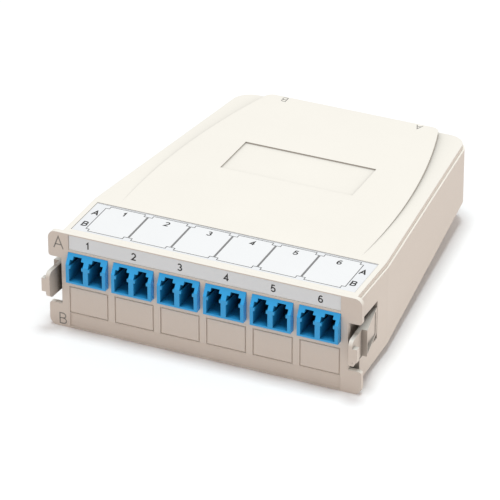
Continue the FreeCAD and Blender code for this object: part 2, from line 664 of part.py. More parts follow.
def port_x(number):
    """Expression for where the axis of one port lies across the front."""
    adapter, side = divmod(number, 2)
    middle = f"{adapter - (ADAPTERS - 1) / 2} * size.adapter_pitch"
    return f"({middle} {'+' if side else '-'} size.port_pitch / 2)"


WEB_MIDDLE = f"(({ADAPTER_END} - size.adapter_proud) / 2)"
PLUG_START = f"({WEB_MIDDLE} + size.sleeve_length / 2 + 5 * size.adapter_gap)"


def split_sleeves(adapter):
    """The two slit alignment sleeves inside one duplex adapter."""
    made = []
    for number in (2 * adapter, 2 * adapter + 1):
        name = f"sleeve_{number + 1}"
        place = (port_x(number), f"{WEB_MIDDLE} - size.sleeve_length / 2", PORT_AXIS)
        tube = cut(f"{name}_tube",
                   rod(f"{name}_outer", place, "size.sleeve_diameter / 2", "size.sleeve_length"),
                   rod(f"{name}_bore", place, "size.ferrule_diameter / 2 + size.ferrule_gap",
                       "size.sleeve_length", around=True))
        slit = primitive("Box", f"{name}_slit",
                         (f"{port_x(number)} - size.sleeve_slit / 2", place[1], PORT_AXIS),
                         Length="size.sleeve_slit", Width="size.sleeve_length", Height="size.sleeve_diameter")
        made.append(cut(name, tube, slit))
    group(f"split_sleeves_{adapter + 1}", made)


def lc_plug(number):
    """Plug in the back of one port: square nose, wider body and a sprung lever above."""
    body = new_body(f"lc_plug_{number + 1:02d}")
    back = ADAPTER_END
    axis = PORT_AXIS
    start = PLUG_START
    nose = sketch(body, "nose", "XZ_Plane", f"-{start}")
    half = "size.plug_nose / 2"
    shoulder = f"({axis} + size.port_square - size.port_width / 2)"
    rectangle(nose, f"-{half}", half, f"{axis} - {half}", f"{shoulder} - size.nose_gap")
    pad(body, nose, f"{back} - {start}", reverse=True)
    grip = sketch(body, "grip", "XZ_Plane", f"-{back}")
    half = "size.plug_body / 2"
    rectangle(grip, f"-{half}", half, f"{axis} - {half}", f"{axis} + {half}")
    pad(body, grip, "size.plug_body_length", reverse=True)
    lever = sketch(body, "lever", "YZ_Plane")
    top = f"{axis} + {half}"
    low = f"({shoulder} - 3 * size.nose_gap)"
    thick = "size.lever_thickness"
    outline(lever, ((f"{start} + size.tab_height", low),
                    (f"{back} + size.plug_body_length / 2", f"{top} + size.tab_height"),
                    (f"{back} + size.plug_body_length / 2", f"{top} + size.tab_height + {thick}"),
                    (f"{start} + size.tab_height", f"{low} + {thick}")))
    pad(body, lever, "size.key_width - size.tab_reach", both=True)
    bore = sketch(body, "bore", "XZ_Plane", f"-{start}")
    many_sided(bore, "0", axis, "size.ferrule_diameter / 2 + size.ferrule_gap", FEW_SIDES, around=True)
    pocket(body, bore, "size.ferrule_seat")
    body.setExpression("Placement.Base.x", port_x(number))


def lc_ferrules():
    """White ferrules of the twelve inner plugs, each from its plug into its sleeve."""
    start = f"({WEB_MIDDLE} + size.ferrule_gap)"
    length = f"{PLUG_START} + size.ferrule_seat - {start}"
    group("lc_ferrules", [
        rod(f"ferrule_{number + 1}", (port_x(number), start, PORT_AXIS), "size.ferrule_diameter / 2", length)
        for number in range(FIBRES)])


def tapered_boot(name, place, start, end, length):
    """Four-sided boot that runs to the back, from one half width and half height to another."""
    return primitive("Wedge", name, place, Ymin="0", Ymax=length,
                     Xmin=f"-{start[0]}", Xmax=start[0], Zmin=f"-{start[1]}", Zmax=start[1],
                     X2min=f"-{end[0]}", X2max=end[0], Z2min=f"-{end[1]}", Z2max=end[1])


def lc_boots():
    """Tapered boots behind the twelve inner plugs."""
    start = f"({ADAPTER_END} + size.plug_body_length)"
    group("lc_boots", [
        tapered_boot(f"boot_{number + 1}", (port_x(number), start, PORT_AXIS),
                     ("(size.boot_root / 2)", "(size.boot_root / 2)"),
                     ("(size.boot_tip / 2)", "(size.boot_tip / 2)"), "size.boot_length")
        for number in range(FIBRES)])


def swept(name, curves, radius, sides):
    """Cord with a many-sided section along lines and arcs that join smoothly."""
    spine = Part.Wire([curve.toShape() for curve in curves])
    start = spine.Edges[0]
    here = start.valueAt(start.FirstParameter)
    up = FreeCAD.Vector(0, 0, 1)
    across = start.tangentAt(start.FirstParameter).cross(up)
    turns = [2 * math.pi * (step + 0.5) / sides for step in range(sides)]
    corners = [here + (across * math.cos(turn) + up * math.sin(turn)) * radius for turn in turns]
    profile = Part.makePolygon(corners + corners[:1])
    made = doc.addObject("Part::Feature", name)
    made.Shape = spine.makePipeShell([profile], True, False)
    made.Label = name
    made.Placement = FreeCAD.Placement()
    parts.append(made)
    return made


def arc(centre, radius, start, end):
    """Arc in a level plane from one angle to another, both in degrees; it may run either way."""
    def at(angle):
        turn = math.radians(angle)
        return centre + FreeCAD.Vector(radius * math.cos(turn), radius * math.sin(turn), 0)
    return Part.Arc(at(start), at((start + end) / 2), at(end))


def fibre(number):
    """Buffered fibre from the fan-out block to one boot: two equal bends and a straight run between."""
    level = value(PORT_AXIS)
    bend = value("size.fibre_bend")
    step = number - (FIBRES - 1) / 2
    start = FreeCAD.Vector(value("-size.fanout_offset") + step * value("size.fibre_pitch"),
                           value("size.fanout_start"), level)
    boot_end = value(f"{ADAPTER_END} + size.plug_body_length + size.boot_length")
    end = FreeCAD.Vector(value(port_x(number)), boot_end, level)
    across = end.x - start.x
    side = 1 if across > 0 else -1
    pitch = value("size.fibre_pitch")
    rank = FIBRES - number if side > 0 else number + 1
    top = start - FreeCAD.Vector(0, rank * pitch, 0)
    low = end + FreeCAD.Vector(0, pitch, 0)
    angle = solve_turn(abs(across), top.y - low.y, bend)
    first_centre = top + FreeCAD.Vector(side * bend, 0, 0)
    last_centre = low - FreeCAD.Vector(side * bend, 0, 0)
    if side > 0:
        first = arc(first_centre, bend, 180, 180 + angle)
        last = arc(last_centre, bend, angle, 0)
    else:
        first = arc(first_centre, bend, 0, -angle)
        last = arc(last_centre, bend, 180 - angle, 180)
    curves = [Part.LineSegment(start, top), first, Part.LineSegment(first.EndPoint, last.StartPoint), last,
              Part.LineSegment(low, end)]
    swept(f"buffered_fibre_{number + 1:02d}", curves, value("size.fibre_diameter / 2"), CORD_SIDES)


def solve_turn(span, down, bend):
    """Turn in degrees of an S of two bends that shifts a run sideways by span over the length down."""
    low, high = 0.0, math.pi / 2
    for _ in range(60):
        turn = (low + high) / 2
        straight = (down - 2 * bend * math.sin(turn)) / math.cos(turn)
        shift = 2 * bend * (1 - math.cos(turn)) + straight * math.sin(turn)
        low, high = (turn, high) if shift < span else (low, turn)
    return math.degrees((low + high) / 2)


MPO_FRONT = "(size.body_length + size.mpo_proud - size.mpo_length)"


def mpo_adapter():
    """Rear adapter: a rectangular sleeve open at both ends, keyed on top, with a web between."""
    body = new_body("mpo_adapter")
    block = sketch(body, "block", "XZ_Plane", f"-{MPO_FRONT}")
    half = "size.mpo_width / 2"
    tall = "size.mpo_height / 2"
    rectangle(block, f"-{half}", half, f"-{tall}", tall)
    pad(body, block, "size.mpo_length", reverse=True)
    snap = "(size.body_length - size.wall - size.adapter_gap)"
    ramps = sketch(body, "ramps", "YZ_Plane")
    for sign in ("", "-"):
        outline(ramps, ((f"{snap} - size.snap_length", f"{sign}({tall} - size.snap_rise)"),
                        (snap, f"{sign}({tall} - size.snap_rise)"),
                        (snap, f"{sign}({tall} + size.snap_rise)"),
                        (f"{snap} - size.snap_length", f"{sign}{tall}")))
    pad(body, ramps, "size.mpo_width / 2", both=True)
    rear = sketch(body, "rear_mouth", "XZ_Plane", "-(size.body_length + size.mpo_proud)")
    front = sketch(body, "front_mouth", "XZ_Plane", f"-{MPO_FRONT}")
    for mouth in (rear, front):
        half = "size.mpo_bore_width / 2"
        tall = "size.mpo_bore_height / 2"
        key = "size.mpo_key_width / 2"
        over = f"{tall} + size.mpo_key_height"
        outline(mouth, ((f"-{half}", f"-{tall}"), (half, f"-{tall}"), (half, tall), (key, tall), (key, over),
                        (f"-{key}", over), (f"-{key}", tall), (f"-{half}", tall)))
    pocket(body, rear, "size.mpo_bore_depth", reverse=True)
    pocket(body, front, "size.mpo_bore_depth")
    window = sketch(body, "window", "XZ_Plane", f"-{MPO_FRONT}")
    ferrule_window(window)
    pocket(body, window, "size.mpo_length")
    rear_place(body)


def ferrule_window(made):
    """Outline of the hole that the rectangular ferrule passes through."""
    half = "(size.mpo_ferrule_width / 2 + size.adapter_gap)"
    tall = "(size.mpo_ferrule_height / 2 + size.adapter_gap)"
    rectangle(made, f"-{half}", half, f"-{tall}", tall)


def rear_place(body):
    body.setExpression("Placement.Base.x", "size.rear_port_offset")
    body.setExpression("Placement.Base.z", "size.rear_port_height")


def mpo_plug():
    """Inner plug of the rear adapter: a keyed nose and a wider sliding collar, bored for its ferrule."""
    body = new_body("mpo_plug")
    nose = sketch(body, "nose", "XZ_Plane", f"-{MPO_FRONT}")
    half = "(size.mpo_bore_width / 2 - 2 * size.adapter_gap)"
    tall = "(size.mpo_bore_height / 2 - 2 * size.adapter_gap)"
    rectangle(nose, f"-{half}", half, f"-{tall}", tall)
    pad(body, nose, "size.mpo_bore_depth - size.snap_rise", reverse=True)
    collar = sketch(body, "collar", "XZ_Plane", f"-({MPO_FRONT} - size.mpo_plug_length)")
    half = "size.mpo_plug_width / 2"
    tall = "size.mpo_plug_height / 2"
    side = f"({half} - size.mpo_plug_corner)"
    shoulder = f"({tall} - size.mpo_plug_corner)"
    outline(collar, ((f"-{side}", f"-{tall}"), (side, f"-{tall}"), (half, f"-{shoulder}"), (half, shoulder),
                     (side, tall), (f"-{side}", tall), (f"-{half}", shoulder), (f"-{half}", f"-{shoulder}")))
    pad(body, collar, "size.mpo_plug_length", reverse=True)
    bore = sketch(body, "bore", "XZ_Plane", f"-{MPO_FRONT}")
    ferrule_window(bore)
    pocket(body, bore, "size.mpo_length")
    rear_place(body)


def mpo_ferrule():
    """Rectangular ferrule with its two guide pins, which reach into the rear half."""
    body = new_body("mpo_ferrule")
    block = sketch(body, "block", "XZ_Plane", f"-{MPO_FRONT}")
    half = "size.mpo_ferrule_width / 2"
    tall = "size.mpo_ferrule_height / 2"
    rectangle(block, f"-{half}", half, f"-{tall}", tall)
    pad(body, block, "size.mpo_length / 2", reverse=True)
    pins = sketch(body, "pins", "XZ_Plane", f"-({MPO_FRONT} + size.mpo_length / 2)")
    for sign in ("", "-"):
        many_sided(pins, f"{sign}size.mpo_pin_pitch / 2", "0", "size.mpo_pin_diameter / 2", FEW_SIDES)
    pad(body, pins, "size.mpo_pin_reach", reverse=True)
    rear_place(body)


def mpo_boot():
    """Boot that tapers from the plug's collar to the cord."""
    place = ("size.rear_port_offset", f"{MPO_FRONT} - size.mpo_plug_length - size.mpo_boot_length",
             "size.rear_port_height")
    narrow = ("(size.cord_diameter / 2 + size.snap_rise)", "(size.cord_diameter / 2 + size.snap_rise / 2)")
    wide = ("(3 / 2 * size.cord_diameter)", "size.cord_diameter")
    boot = tapered_boot("mpo_boot", place, narrow, wide, "size.mpo_boot_length")
    boot.Label = boot.Name
    parts.append(boot)


def fanout_cord():
    """Round twelve-fibre cord: out of the boot, round one post, back, round the other and into the block."""
    level = value("size.rear_port_height")
    bend = value("size.cord_bend")
    loop = value("size.cord_loop_bend")
    port = value("size.rear_port_offset")
    lane = value("size.cord_lane")
    boot_end = value(f"{MPO_FRONT} - size.mpo_plug_length - size.mpo_boot_length")
    block_end = value("size.fanout_start + size.fanout_length")
    block = value("-size.fanout_offset")
    lead = value("size.cord_diameter")
    turn_y = boot_end - lead
    turn_centre = FreeCAD.Vector(port - bend, turn_y, level)
    near_centre = FreeCAD.Vector(lane - loop, block_end, level)
    far_centre = FreeCAD.Vector(block + loop, block_end, level)
    turn = arc(turn_centre, bend, 0, -180)
    first = arc(near_centre, loop, 0, 90)
    last = arc(far_centre, loop, 90, 180)
    curves = [Part.LineSegment(FreeCAD.Vector(port, boot_end, level), turn.StartPoint), turn,
              Part.LineSegment(turn.EndPoint, first.StartPoint), first,
              Part.LineSegment(first.EndPoint, last.StartPoint), last]
    swept("fanout_cord", curves, value("size.cord_diameter / 2"), CORD_SIDES)


def fanout_block():
    """Furcation block that spreads the cord's fibres into twelve buffered ones."""
    body = new_body("fanout_block")
    base = sketch(body, "plan", "XY_Plane", "size.rear_port_height - size.cord_diameter / 2 - size.post_wall")
    half = "(size.fanout_width / 2)"
    narrow = "size.cord_diameter"
    start = "size.fanout_start"
    end = "(size.fanout_start + size.fanout_length)"
    taper = f"{end} - size.fanout_length / 3"
    outline(base, ((f"-{half}", start), (half, start), (half, taper), (narrow, end),
                   (f"-{narrow}", end), (f"-{half}", taper)))
    pad(body, base, "size.fanout_height")
    body.setExpression("Placement.Base.x", "-size.fanout_offset")


def latch(side, name):
    """Latch arm with its pivot stubs, ramped catch and finger grip."""
    body = new_body(name)
    base = sketch(body, "arm", "XY_Plane", "size.arm_middle - size.arm_height / 2")
    wall = "(size.body_width / 2)"
    root = "size.arm_root"
    tip = "-size.arm_tip"
    slope = "size.arm_flare / (size.arm_root + size.arm_tip)"

    def outer(place):
        return f"({wall} + {slope} * (size.arm_root - ({place})))"

    axis_x = f"({wall} - size.wall - size.pivot_inset)"
    axis_y = "(size.arm_root + size.pivot_back)"
    foot = "(size.arm_root - size.foot_length)"
    catch = "size.catch_start"
    right = ((wall, root), (f"{outer(catch)} + size.catch_reach", catch), (outer(catch), catch),
             (outer(tip), tip), (f"{outer(tip)} - size.arm_thickness", tip),
             (f"{outer(foot)} - size.arm_thickness", foot), (f"{axis_x} - size.foot_inset", foot),
             (f"{axis_x} - size.foot_inset", axis_y), (f"{axis_x} + size.foot_inset", axis_y),
             (f"{axis_x} + 2 * size.foot_inset", root))

    def sided(x):
        return x if side > 0 else f"-({x})"

    outline(base, tuple((sided(x), y) for x, y in right))
    pad(body, base, "size.arm_height")
    front = value(tip)
    ends = (value("size.arm_middle - size.arm_height / 2"), value("size.arm_middle + size.arm_height / 2"))
    fillet(body, "size.tip_corner", lambda x, y, z: near(y, front) and any(near(z, end) for end in ends))
    hollow = sketch(body, "hollow", "XY_Plane", "size.arm_middle")
    start = f"({catch} + size.catch_rim)"
    end = f"({root} - 3 * size.catch_rim)"
    outline(hollow, tuple((sided(x), y) for x, y in (
        (outer(start), start), (outer(end), end),
        (f"{outer(end)} + size.catch_reach", end), (f"{outer(start)} + size.catch_reach", start))))
    pocket(body, hollow, "size.arm_height - 2 * size.catch_rim", both=True)
    knuckle = sketch(body, "knuckle", "XY_Plane", "size.arm_middle")
    many_sided(knuckle, sided(axis_x), axis_y, "size.knuckle_diameter / 2", MANY_SIDES)
    pad(body, knuckle, "size.arm_height", both=True)
    stubs = sketch(body, "stubs", "XY_Plane", "size.arm_middle")
    circle(stubs, sided(axis_x), axis_y, "size.pivot_diameter / 2")
    pad(body, stubs, "size.arm_height + 2 * (size.ear_gap + size.ear_thickness)", both=True)
    grip = sketch(body, "grip", "XY_Plane", "size.arm_middle - size.grip_height / 2")
    near_face = sided(f"({outer(tip)} - size.arm_thickness / 2)")
    far_face = sided(f"({outer(tip)} + size.grip_reach)")
    left, right = (near_face, far_face) if side > 0 else (far_face, near_face)
    rectangle(grip, left, right, tip, f"{tip} + size.grip_length")
    pad(body, grip, "size.grip_height")


def labels():
    """Thin printed labels that lie in the front field and in the cover's field."""
    gap = "size.label_gap"
    front = primitive("Box", "front_label",
                      (f"-size.front_label_width / 2 + {gap}",
                       "size.front_field_depth - size.label_thickness",
                       f"size.panel_height - size.label_lip - size.front_label_height + {gap}"),
                      Length=f"size.front_label_width - 2 * {gap}", Width="size.label_thickness",
                      Height=f"size.front_label_height - 2 * {gap}")
    top = primitive("Box", "top_label",
                    (f"-size.top_label_width / 2 + {gap}", f"size.top_label_start + {gap}",
                     "size.parting_front + size.cover_edge - size.top_field_depth"),
                    Length=f"size.top_label_width - 2 * {gap}", Width=f"size.top_label_length - 2 * {gap}",
                    Height="size.label_thickness")
    for made in (front, top):
        made.Label = made.Name
        parts.append(made)


def cover_screws():
    """Two screws that pull the cover down on the housing from below."""
    seat = f"({underside('size.screw_back')} + size.head_recess)"
    made = []
    for number, side in enumerate(("-", ""), start=1):
        place = (f"{side}size.screw_offset", "size.screw_back")
        head = primitive("Prism", f"screw_head_{number}", (*place, f"{seat} - size.screw_head_height"),
                         Circumradius="size.screw_head / 2", Height="size.screw_head_height")
        shank = primitive("Prism", f"screw_shank_{number}", (*place, f"{seat} - size.screw_head_height / 2"),
                          Circumradius="size.screw_diameter / 2", Height="size.screw_length")
        for member in (head, shank):
            member.Polygon = MANY_SIDES
        screw = doc.addObject("Part::Fuse", f"screw_{number}")
        screw.Base = head
        screw.Tool = shank
        made.append(screw)
    group("cover_screws", made)


def check(shapes):
    """Stop if any object failed to rebuild or any part is empty or broken."""
    failed = [item.Name for item in doc.Objects if "Invalid" in item.State or "Error" in item.State]
    if failed:
        raise RuntimeError(f"failed to rebuild: {failed}")
    for item in shapes:
        if item.Shape.isNull() or not item.Shape.isValid() or not item.Shape.Solids:
            raise RuntimeError(f"bad shape: {item.Label}")


base_shell()
top_cover()
for index in range(ADAPTERS):
    lc_adapter(index)
    split_sleeves(index)
for index in range(FIBRES):
    lc_plug(index)
    fibre(index)
lc_ferrules()
lc_boots()
mpo_adapter()
mpo_plug()
mpo_ferrule()
mpo_boot()
fanout_cord()
fanout_block()
latch(1, "latch_right")
latch(-1, "latch_left")
labels()
cover_screws()
doc.recompute()
check(parts)
os.makedirs("parts", exist_ok=True)
for item in parts:
    item.Shape.exportStep(os.path.join("parts", f"{item.Label}.step"))
    print(item.Label, round(item.Shape.Volume, 1), "mm3 in", len(item.Shape.Solids), "solid(s)")
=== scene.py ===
"""Looks of the fibre cassette: moulded plastics with painted shade in their pits and recesses and on faces
that don't look up, printed labels, row marks painted dark as the shade of an engraving, light and camera.
"""

import math

import bmesh
import bpy
from mathutils import Matrix, Vector


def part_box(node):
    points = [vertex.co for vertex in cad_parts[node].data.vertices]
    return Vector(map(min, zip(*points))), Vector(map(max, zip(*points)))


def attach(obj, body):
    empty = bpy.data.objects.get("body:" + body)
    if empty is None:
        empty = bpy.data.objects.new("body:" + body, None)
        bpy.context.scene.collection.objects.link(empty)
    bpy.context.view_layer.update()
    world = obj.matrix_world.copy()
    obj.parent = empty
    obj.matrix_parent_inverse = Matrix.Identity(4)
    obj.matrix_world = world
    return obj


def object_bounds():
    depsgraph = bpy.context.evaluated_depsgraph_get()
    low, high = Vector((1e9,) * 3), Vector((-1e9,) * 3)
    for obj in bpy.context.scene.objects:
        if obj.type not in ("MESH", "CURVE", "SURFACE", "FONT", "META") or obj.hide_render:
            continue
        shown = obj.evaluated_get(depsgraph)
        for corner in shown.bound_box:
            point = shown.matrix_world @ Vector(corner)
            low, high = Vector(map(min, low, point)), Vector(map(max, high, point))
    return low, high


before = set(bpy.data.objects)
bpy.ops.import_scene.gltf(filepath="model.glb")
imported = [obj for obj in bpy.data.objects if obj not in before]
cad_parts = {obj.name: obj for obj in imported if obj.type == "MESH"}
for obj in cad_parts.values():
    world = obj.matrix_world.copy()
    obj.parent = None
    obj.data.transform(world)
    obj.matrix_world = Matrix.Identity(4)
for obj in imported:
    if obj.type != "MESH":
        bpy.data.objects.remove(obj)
cad_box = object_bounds()
MM = 0.001

BODY = "cassette"
IVORY = (0.84, 0.805, 0.735)
# Ivory painted darker and warmer for faces that don't look up: painted side shade.
PAINTED_SIDE_SHADE = (0.745, 0.672, 0.60)
BLUE = (0.028, 0.42, 0.88)
INK = (0.012, 0.012, 0.012)
GREY = (0.20, 0.20, 0.20)
LINE = (0.06, 0.06, 0.06)
PAPER = (0.775, 0.785, 0.80)
STRIP = (0.84, 0.89, 0.92)
CELL = (0.81, 0.815, 0.82)
FLOOR_LIT = (0.80, 0.75, 0.72)
FLOOR_SEEN = (0.95, 0.95, 0.95)
SURROUND = (0.58, 0.53, 0.51)
LENS = 273.6
FIBRE_COLOURS = (
    (0.03, 0.12, 0.60), (0.80, 0.24, 0.03), (0.03, 0.36, 0.10), (0.20, 0.09, 0.04),
    (0.26, 0.28, 0.31), (0.82, 0.82, 0.80), (0.60, 0.03, 0.03), (0.03, 0.03, 0.03),
    (0.82, 0.64, 0.05), (0.22, 0.07, 0.40), (0.80, 0.36, 0.42), (0.06, 0.54, 0.56),
)


class Wire:
    """One socket of a finish. Arithmetic on it adds the nodes that work the result out."""

    def __init__(self, finish, socket):
        self.finish = finish
        self.socket = socket

    def worked(self, operation, first, second):
        return self.finish.node("Math", {"operation": operation}, {0: first, 1: second})

    def __add__(self, other):
        return self.worked("ADD", self, other)

    def __rsub__(self, other):
        return self.worked("SUBTRACT", other, self)

    def __mul__(self, other):
        return self.worked("MULTIPLY", self, other)

    __radd__ = __add__
    __rmul__ = __mul__


class Finish:
    """A material: one Principled shader and the nodes that vary it over the surface."""

    def __init__(self, name, **constants):
        self.material = bpy.data.materials.new(name)
        self.material.use_nodes = True
        self.tree = self.material.node_tree
        self.shader = self.tree.nodes["Principled BSDF"]
        self.give(**constants)

    def node(self, kind, settings=None, inputs=None, output=0):
        made = self.tree.nodes.new("ShaderNode" + kind)
        for key, value in (settings or {}).items():
            setattr(made, key, value)
        for key, value in (inputs or {}).items():
            self.feed(made.inputs[key], value)
        return Wire(self, made.outputs[output])

    def feed(self, socket, value):
        if isinstance(value, Wire):
            self.tree.links.new(value.socket, socket)
        elif socket.type == "RGBA" and len(value) == 3:
            socket.default_value = (*value, 1.0)
        else:
            socket.default_value = value

    def give(self, **values):
        """Set or link the shader's own sockets, named with underscores for spaces."""
        for key, value in values.items():
            self.feed(self.shader.inputs[key.replace("_", " ")], value)

    def place(self):
        return self.node("TexCoord", output="Object")

    def noise(self, size, detail=2.0, rough=0.5):
        """Noise between 0 and 1 whose lumps are about as large as size, in metres."""
        return self.node("TexNoise", {}, {"Vector": self.place(), "Scale": 1 / size, "Detail": detail,
                                          "Roughness": rough})

    def blend(self, share, first, second):
        return self.node("Mix", {"data_type": "RGBA"}, {0: share, 6: first, 7: second}, output=2)

    def openness(self, reach, alone):
        """How open the surroundings are, from 0 deep in a corner to 1 on a free face; used to paint shade
        into base colours.
        """
        return self.node("AmbientOcclusion", {"samples": 12, "only_local": alone}, {"Distance": reach},
                         output="AO")

    def depth(self, axis):
        """The place along one axis of the frame, in metres."""
        return self.node("SeparateXYZ", {}, {0: self.node("NewGeometry", output="Position")}, output=axis)

    def looking_up(self):
        """1 on a face that looks straight up, 0 on an upright one."""
        facing = self.node("SeparateXYZ", {}, {0: self.node("NewGeometry", output="Normal")}, output="Z")
        return self.node("Math", {"operation": "MAXIMUM"}, {0: facing, 1: 0.0})

    def below(self, wire, level):
        """1 where a wire is less than a level, else 0."""
        return self.node("Math", {"operation": "LESS_THAN"}, {0: wire, 1: level})

    def grained(self, height, depth, edge):
        """Normal from a height, in metres of depth, with edges rounded by a radius."""
        soft = self.node("Bevel", {"samples": 6}, {"Radius": edge})
        return self.node("Bump", {}, {"Height": height, "Strength": 1.0, "Distance": depth, "Normal": soft})


def shade(colour, by):
    return tuple(part * by for part in colour)


def moulded(name, colour, roughness, grain=0.45 * MM, depth=0.006 * MM, edge=0.28 * MM, drift=0.02,
            painted_pit_shade=0.2, reach=5 * MM, alone=True, plain_front=False, side=None):
    """Moulded plastic: a fine spark-eroded grain, slow drifts of tone, soft edges, painted shade that
    darkens its pits, corners and recesses, and painted side shade on faces that don't look up where a side
    colour is given.
    """
    made = Finish(name, IOR=1.5)
    fine = made.noise(grain, detail=3.0, rough=0.6)
    broad = made.noise(22 * MM, detail=3.0)
    # Painted shade: the ambient-occlusion share darkens the base colour in corners, creases, recesses and
    # ports.
    open_face = made.openness(reach, alone)
    # The front face, less than 0.6 mm deep, is kept out of the painted shade, so its shallow lines stay
    # light.
    if plain_front:
        shallow = made.below(made.depth("Y"), 0.6 * MM)
        open_face = open_face + shallow * (1 - open_face)
    plain = made.blend(broad, shade(colour, 1 - drift), shade(colour, 1 + drift))
    # Painted side shade: faces that don't look up take the side colour, faces that look up keep the lighter
    # ivory.
    if side:
        plain = made.blend(made.looking_up(), side, plain)
    # Base colour falls towards the painted shade colour where the surroundings close in.
    made.give(Base_Color=made.blend(open_face, shade(colour, painted_pit_shade), plain),
              Roughness=roughness - 0.04 + 0.05 * fine + 0.04 * broad,
              Normal=made.grained(fine, depth, edge))
    return made.material


def printed_paper(name, colour):
    """Coated label stock: near-flat colour with paper fibre in its tone and surface."""
    made = Finish(name, IOR=1.45)
    fibre = made.noise(0.8 * MM, detail=4.0, rough=0.7)
    cloud = made.noise(14 * MM)
    made.give(Base_Color=made.blend(cloud, shade(colour, 0.985), shade(colour, 1.015)),
              Roughness=0.42 + 0.10 * fibre,
              Normal=made.grained(fibre, 0.003 * MM, 0.05 * MM))
    return made.material


def ink(name, colour):
    """Printed ink that lies on a label, slightly uneven in density."""
    made = Finish(name, IOR=1.45)
    density = made.noise(0.5 * MM, detail=2.0)
    made.give(Base_Color=made.blend(density, shade(colour, 0.9), shade(colour, 1.15)),
              Roughness=0.38 + 0.1 * density)
    return made.material


def ceramic():
    """Polished white zirconia."""
    made = Finish("zirconia", IOR=2.1)
    broad = made.noise(1.2 * MM)
    made.give(Base_Color=made.blend(broad, (0.84, 0.84, 0.81), (0.88, 0.88, 0.86)),
              Roughness=0.12 + 0.06 * broad)
    return made.material


def bright_steel():
    """Zinc-plated steel of the small screws."""
    made = Finish("zinc_steel", Metallic=1.0)
    broad = made.noise(0.9 * MM, detail=3.0)
    made.give(Base_Color=made.blend(broad, (0.56, 0.56, 0.55), (0.66, 0.66, 0.64)),
              Roughness=0.26 + 0.14 * broad,
              Normal=made.grained(broad, 0.004 * MM, 0.1 * MM))
    return made.material


# The mouldings below carry painted shade in pits and recesses and painted side shade on upright faces; the
# latch's shade also counts the panel and parts around it, and the adapters' ports are painted nearly black.
HOUSING = moulded("ivory_moulding", IVORY, 0.46, edge=0.2 * MM, reach=8 * MM, plain_front=True, side=PAINTED_SIDE_SHADE)
COVER = moulded("ivory_cover", IVORY, 0.46, edge=0.2 * MM, reach=6 * MM, side=PAINTED_SIDE_SHADE)
LATCH = moulded("ivory_latch", shade(IVORY, 0.93), 0.44, edge=0.2 * MM, reach=11 * MM, alone=False,
                painted_pit_shade=0.04, side=PAINTED_SIDE_SHADE)
ADAPTER = moulded("blue_moulding", BLUE, 0.34, grain=0.6 * MM, depth=0.003 * MM, edge=0.12 * MM, painted_pit_shade=0.012)
SLEEVE = ceramic()
BOOT = moulded("white_rubber", (0.76, 0.76, 0.74), 0.62)
DARK = moulded("black_moulding", (0.022, 0.022, 0.024), 0.38, edge=0.2 * MM)
GREEN = moulded("green_moulding", (0.03, 0.28, 0.10), 0.36, edge=0.2 * MM)
JACKET = moulded("yellow_jacket", (0.80, 0.58, 0.06), 0.48)
STEEL = bright_steel()
PAPER_WHITE = printed_paper("label_cells", CELL)
PAPER_GREY = printed_paper("label_ground", PAPER)
PAPER_STRIP = printed_paper("label_strip", STRIP)
BLACK_INK = ink("black_ink", INK)
GREY_INK = ink("grey_ink", GREY)
LINE_INK = ink("line_ink", LINE)
# Dark ivory for the row marks: painted shade standing in for the shadow inside engraving strokes.
PAINTED_ENGRAVING_SHADE = moulded("painted_engraving_shade", shade(IVORY, 0.36), 0.6)


def dress(node, material):
    """Give a carried-over CAD node its finish."""
    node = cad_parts[node]
    node.data.materials.clear()
    node.data.materials.append(material)


FINISHES = {
    "base_shell": HOUSING, "top_cover": COVER, "latch_left": LATCH, "latch_right": LATCH,
    "lc_adapter": ADAPTER, "split_sleeves": SLEEVE, "lc_plug": ADAPTER, "lc_ferrules": SLEEVE,
    "lc_boots": BOOT, "fanout_block": DARK, "fanout_cord": JACKET, "mpo_adapter": DARK,
    "mpo_plug": GREEN, "mpo_ferrule": DARK, "mpo_boot": DARK, "front_label": PAPER_STRIP,
    "top_label": PAPER_GREY, "cover_screws": STEEL,
}
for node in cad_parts:
    stem = node.rstrip("0123456789").rstrip("_")
    if stem == "buffered_fibre":
        number = int(node[-2:])
        dress(node, moulded(f"fibre_coat_{number}", FIBRE_COLOURS[number - 1], 0.45))
    else:
        dress(node, FINISHES[stem])


def piece(name, mesh, material, body=BODY):
    """A new piece of the visual model, riding on a CAD body."""
    made = bpy.data.objects.new(name, mesh)
    bpy.context.scene.collection.objects.link(made)
    mesh.materials.clear()
    mesh.materials.append(material)
    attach(made, body)
    return made


def flat_plate(name, outlines, height, material, turn=Matrix.Identity(4)):
    """Thin plates with straight outlines, all raised by one height."""
    build = bmesh.new()
    for outline in outlines:
        corners = [build.verts.new((x, y, 0)) for x, y in outline]
        build.faces.new(corners)
    made = bmesh.ops.extrude_face_region(build, geom=list(build.faces))
    moved = [item for item in made["geom"] if isinstance(item, bmesh.types.BMVert)]
    bmesh.ops.translate(build, vec=(0, 0, height), verts=moved)
    bmesh.ops.recalc_face_normals(build, faces=build.faces)
    build.transform(turn)
    mesh = bpy.data.meshes.new(name)
    build.to_mesh(mesh)
    build.free()
    return piece(name, mesh, material)


